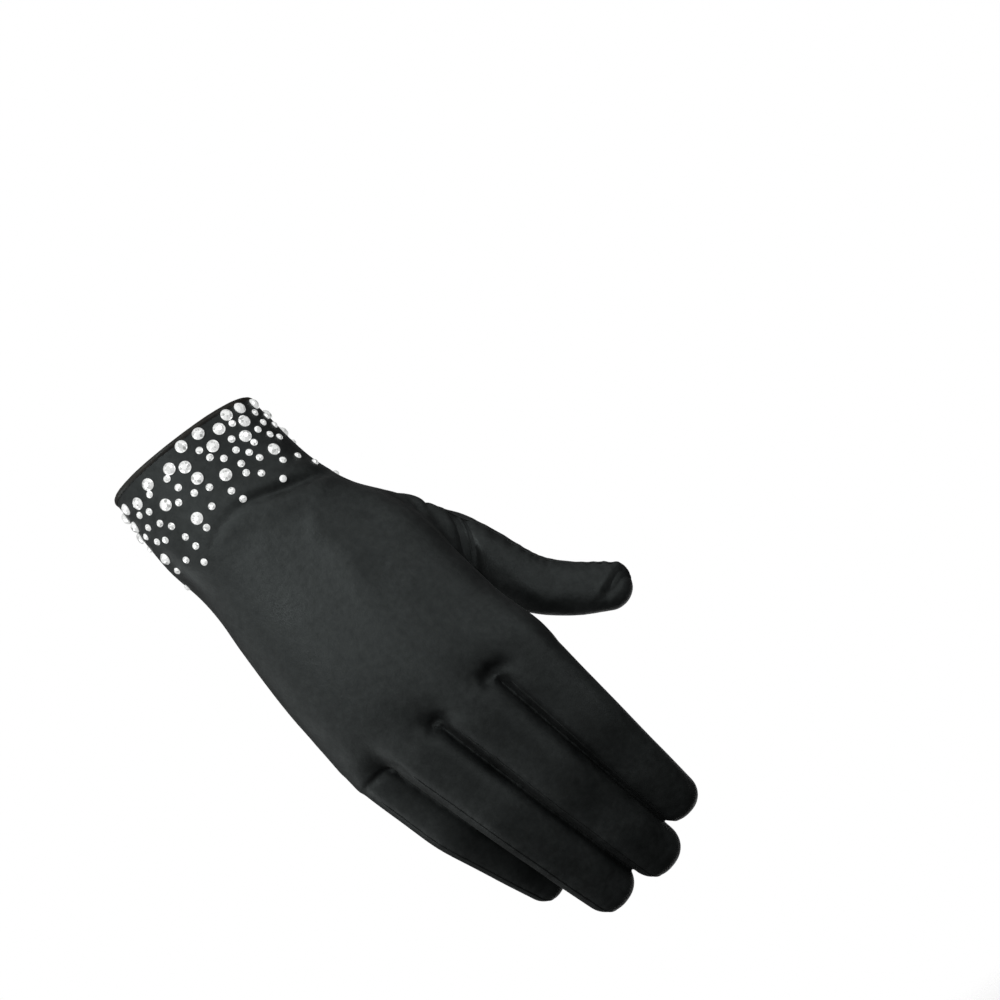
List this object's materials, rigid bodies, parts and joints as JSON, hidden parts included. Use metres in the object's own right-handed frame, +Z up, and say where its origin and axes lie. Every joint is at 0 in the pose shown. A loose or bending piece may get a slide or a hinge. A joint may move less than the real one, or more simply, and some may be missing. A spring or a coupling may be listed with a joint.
{
  "type": "wrist length dress glove",
  "caption": "Worn form of a right hand satin dress glove that ends at the wrist, with a hemmed cuff set with cut stones.",
  "frame": {"origin": "centre of the wrist opening, in the plane of the rim", "axes": "+Z up the forearm, fingers towards -Z, back of the hand towards -Y, thumb towards +X"},
  "size_m": [0.1141, 0.0561, 0.1922],
  "materials": {
    "satin": "black stretch satin",
    "hem_satin": "black satin, rolled and stitched",
    "crystal": "faceted crystal with a silver foil back"
  },
  "bodies": {
    "root": {"back_panel": "satin", "palm_panel": "satin", "thumb": "satin", "cuff": "satin", "cuff_hem": "hem_satin", "rhinestone_01": "crystal", "rhinestone_02": "crystal", "rhinestone_03": "crystal", "rhinestone_04": "crystal", "rhinestone_05": "crystal", "rhinestone_06": "crystal", "rhinestone_07": "crystal", "rhinestone_08": "crystal", "rhinestone_09": "crystal", "rhinestone_10": "crystal", "rhinestone_11": "crystal", "rhinestone_12": "crystal", "rhinestone_13": "crystal", "rhinestone_14": "crystal", "rhinestone_15": "crystal", "rhinestone_16": "crystal", "rhinestone_17": "crystal", "rhinestone_18": "crystal", "rhinestone_19": "crystal", "rhinestone_20": "crystal", "rhinestone_21": "crystal", "rhinestone_22": "crystal", "rhinestone_23": "crystal", "rhinestone_24": "crystal", "rhinestone_25": "crystal", "rhinestone_26": "crystal", "rhinestone_27": "crystal", "rhinestone_28": "crystal", "rhinestone_29": "crystal", "rhinestone_30": "crystal", "rhinestone_31": "crystal", "rhinestone_32": "crystal", "rhinestone_33": "crystal", "rhinestone_34": "crystal", "rhinestone_35": "crystal", "rhinestone_36": "crystal", "rhinestone_37": "crystal", "rhinestone_38": "crystal", "rhinestone_39": "crystal", "rhinestone_40": "crystal", "rhinestone_41": "crystal", "rhinestone_42": "crystal"}
  },
  "joints": []
}
